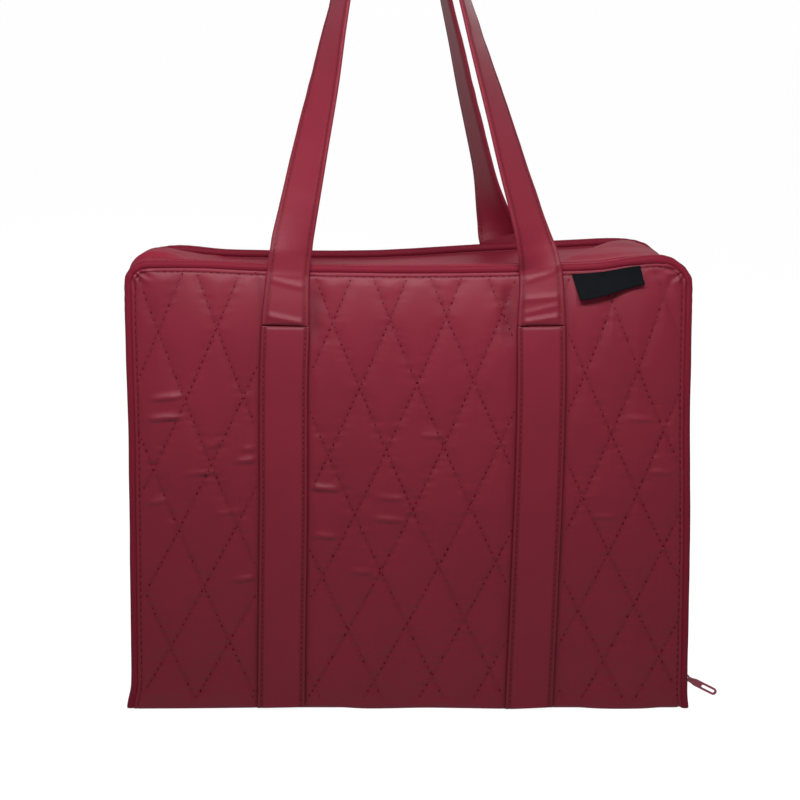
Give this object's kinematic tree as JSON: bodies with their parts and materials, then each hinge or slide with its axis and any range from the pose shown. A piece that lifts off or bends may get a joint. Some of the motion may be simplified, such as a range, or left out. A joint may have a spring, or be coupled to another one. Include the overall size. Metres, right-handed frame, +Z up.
{
  "type": "craft storage bag",
  "caption": "Soft quilted storage bag on a flat base, with carrying handles and a zip that lets its front panel fold down.",
  "frame": {"origin": "middle of the base's underside, on the surface that the bag stands on", "axes": "+Z up, +X to the right seen from the front, and the zipped front panel faces -Y"},
  "size_m": [0.3607, 0.135, 0.4752],
  "materials": {
    "quilted_fabric": "quilted burgundy cloth with a soft sheen",
    "plain_fabric": "smooth burgundy cloth with a soft sheen",
    "lining_fabric": "plain woven burgundy lining",
    "stiffener_board": "matt stiffening board, hidden between the layers",
    "zip_tape": "woven tape with moulded teeth of the same colour",
    "zip_metal": "burgundy enamel on cast metal",
    "label_weave": "black damask weave, bare"
  },
  "bodies": {
    "shell": {"base_cover": "plain_fabric", "base_board": "stiffener_board", "base_lining": "lining_fabric", "main_gusset": "plain_fabric", "main_gusset_lining": "lining_fabric", "rear_zip_tape": "zip_tape", "zip_end_stop_left": "zip_metal", "zip_end_stop_right": "zip_metal", "back_cover": "quilted_fabric", "back_board": "stiffener_board", "back_lining": "lining_fabric", "back_piping": "plain_fabric", "back_pocket": "lining_fabric", "back_pocket_binding": "plain_fabric", "back_strap_band_left": "plain_fabric", "back_strap_band_right": "plain_fabric"},
    "flap": {"front_cover": "quilted_fabric", "front_board": "stiffener_board", "front_lining": "lining_fabric", "front_piping": "plain_fabric", "front_pocket": "lining_fabric", "front_pocket_binding": "plain_fabric", "front_strap_band_left": "plain_fabric", "front_strap_band_right": "plain_fabric", "front_gusset": "plain_fabric", "front_zip_tape": "zip_tape", "loop_label": "label_weave"},
    "front_handle": {"front_handle_strap": "plain_fabric"},
    "back_handle": {"back_handle_strap": "plain_fabric"},
    "slider": {"zip_slider": "zip_metal"},
    "pull_link": {"zip_pull_link": "zip_metal"},
    "pull_tab": {"zip_pull_tab": "zip_metal"}
  },
  "joints": [
    {"name": "flap_open", "type": "hinge", "parent": "shell", "child": "flap", "pos_m": [0, -0.065, 0.003], "axis": [1, 0, 0], "range_deg": [0, 91.9]},
    {"name": "front_handle_swing", "type": "hinge", "parent": "flap", "child": "front_handle", "pos_m": [0, -0.05993, 0.2343], "axis": [1, 0, 0], "range_deg": [0, 170]},
    {"name": "back_handle_swing", "type": "hinge", "parent": "shell", "child": "back_handle", "pos_m": [0, 0.05993, 0.2343], "axis": [-1, 0, 0], "range_deg": [0, 170]},
    {"name": "slider_travel", "type": "slide", "parent": "shell", "child": "slider", "axis": [0, 0.0336, 0.9994], "range_m": [0, 0.215], "deforming": ["front_zip_tape", "rear_zip_tape"]},
    {"name": "pull_link_swing", "type": "hinge", "parent": "slider", "child": "pull_link", "pos_m": [0.16745, -0.04033, 0.02], "axis": [0, -0.9994, 0.0336], "range_deg": [-30, 95]},
    {"name": "pull_tab_swing", "type": "hinge", "parent": "pull_link", "child": "pull_tab", "pos_m": [0.1725, -0.04057, 0.0128], "axis": [0, -0.9994, 0.0336], "range_deg": [-28, 22]}
  ]
}
